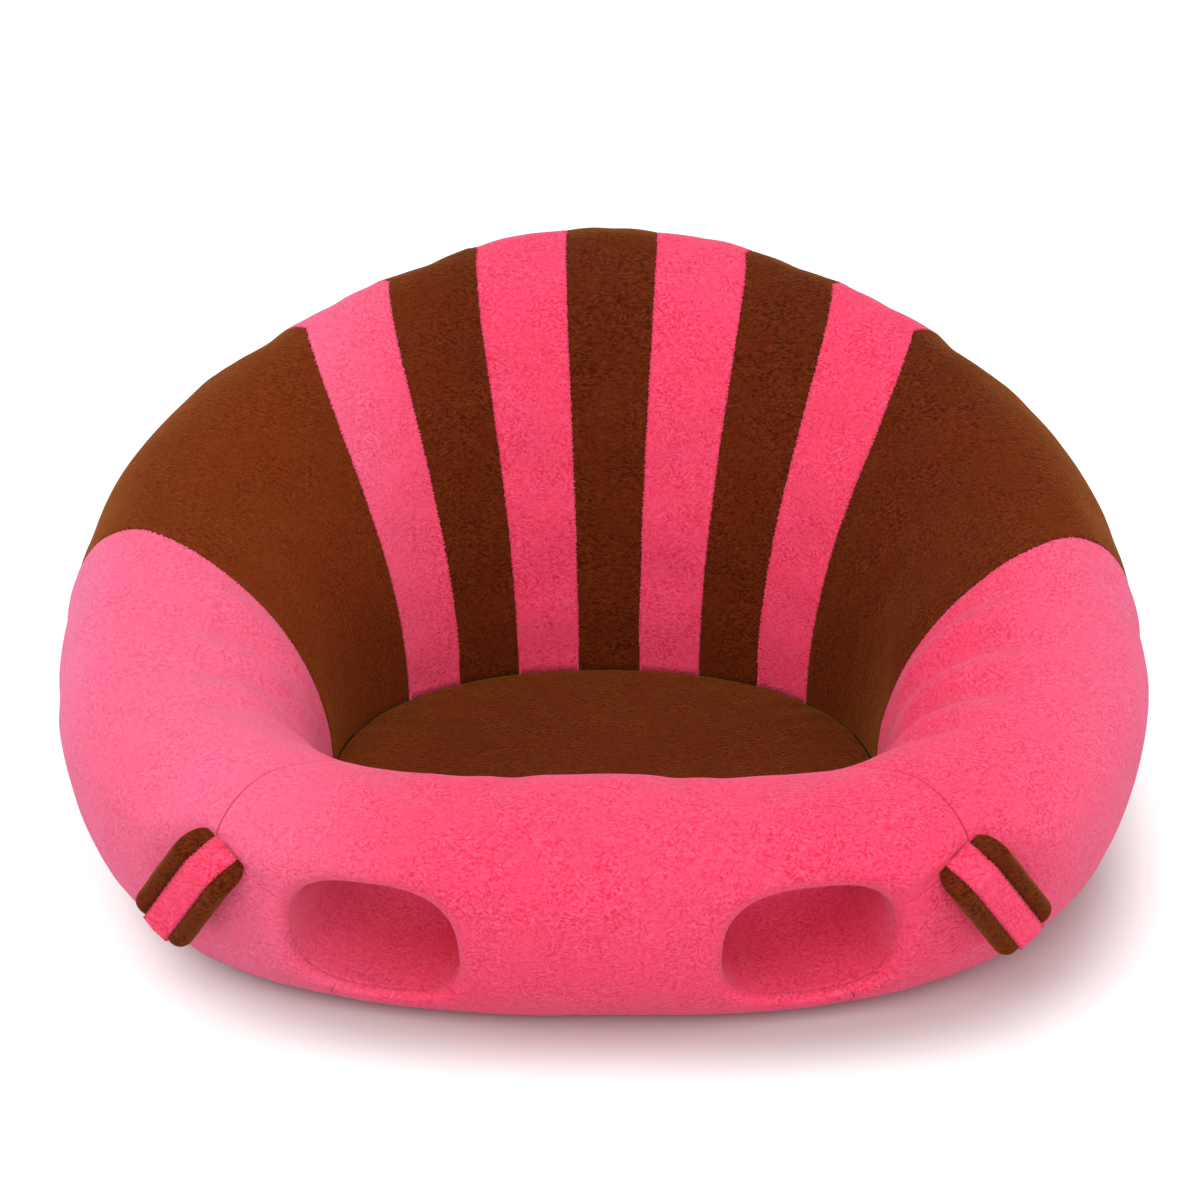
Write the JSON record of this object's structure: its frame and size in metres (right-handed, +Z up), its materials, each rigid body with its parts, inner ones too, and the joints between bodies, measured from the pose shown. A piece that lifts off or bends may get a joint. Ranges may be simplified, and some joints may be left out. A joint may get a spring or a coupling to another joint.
{
  "type": "baby floor seat",
  "caption": "Round stuffed floor seat for a baby: a plush ring with a raised striped back, a padded seat, leg holes in front and padded tabs at the sides.",
  "frame": {"origin": "on the floor, below the middle of the seat's outline", "axes": "+Z up, the front roll faces -Y, +X is to the right of a viewer in front of the seat"},
  "size_m": [0.456, 0.416, 0.207],
  "materials": {
    "plush_pink": "short pile plush",
    "plush_brown": "short pile plush",
    "fibre": "loose polyester fibre",
    "base_cloth": "non-slip cloth",
    "zip_tape": "woven tape",
    "zip_plastic": "moulded",
    "zip_metal": "nickel plated"
  },
  "bodies": {
    "seat": {"front_panel": "plush_pink", "side_panel_right": "plush_pink", "side_panel_left": "plush_pink", "wing_panel_right": "plush_brown", "wing_panel_left": "plush_brown", "stripe_outer_right": "plush_pink", "stripe_outer_left": "plush_pink", "stripe_mid_right": "plush_brown", "stripe_mid_left": "plush_brown", "stripe_inner_right": "plush_pink", "stripe_inner_left": "plush_pink", "back_centre_panel": "plush_brown", "leg_lining_right": "plush_pink", "leg_lining_left": "plush_pink", "ring_filling": "fibre", "seat_cover": "plush_brown", "seat_pad": "fibre", "base_panel": "base_cloth", "zip_placket": "base_cloth", "zip_guard": "base_cloth", "zip_tape_front": "zip_tape", "zip_tape_back": "zip_tape", "zip_teeth_front": "zip_plastic", "zip_teeth_back": "zip_plastic", "zip_stops": "zip_plastic", "tab_tail_right": "plush_brown", "tab_tail_left": "plush_brown"},
    "slider": {"zip_slider": "zip_metal"},
    "pull": {"zip_pull": "zip_metal"},
    "tab_right": {"tab_pad_right": "plush_brown", "tab_band_right": "plush_pink"},
    "tab_left": {"tab_pad_left": "plush_brown", "tab_band_left": "plush_pink"}
  },
  "joints": [
    {"name": "tab_right_flap", "type": "hinge", "parent": "seat", "child": "tab_right", "pos_m": [0.14336, -0.18122, 0.07552], "axis": [-0.5936, -0.584, -0.5538], "range_deg": [0, 45], "stiffness_Nm_per_rad": 0.002},
    {"name": "tab_left_flap", "type": "hinge", "parent": "seat", "child": "tab_left", "pos_m": [-0.14336, -0.18122, 0.07552], "axis": [-0.5936, 0.584, 0.5538], "range_deg": [0, 45], "stiffness_Nm_per_rad": 0.002},
    {"name": "zip_slide", "type": "slide", "parent": "seat", "child": "slider", "axis": [-1, 0, 0], "range_m": [0, 0.14], "deforming": ["zip_teeth_front", "zip_teeth_back"]},
    {"name": "pull_flip", "type": "hinge", "parent": "slider", "child": "pull", "pos_m": [0.081, 0, 0.0053], "axis": [0, -1, 0], "range_deg": [-8, 160]}
  ]
}
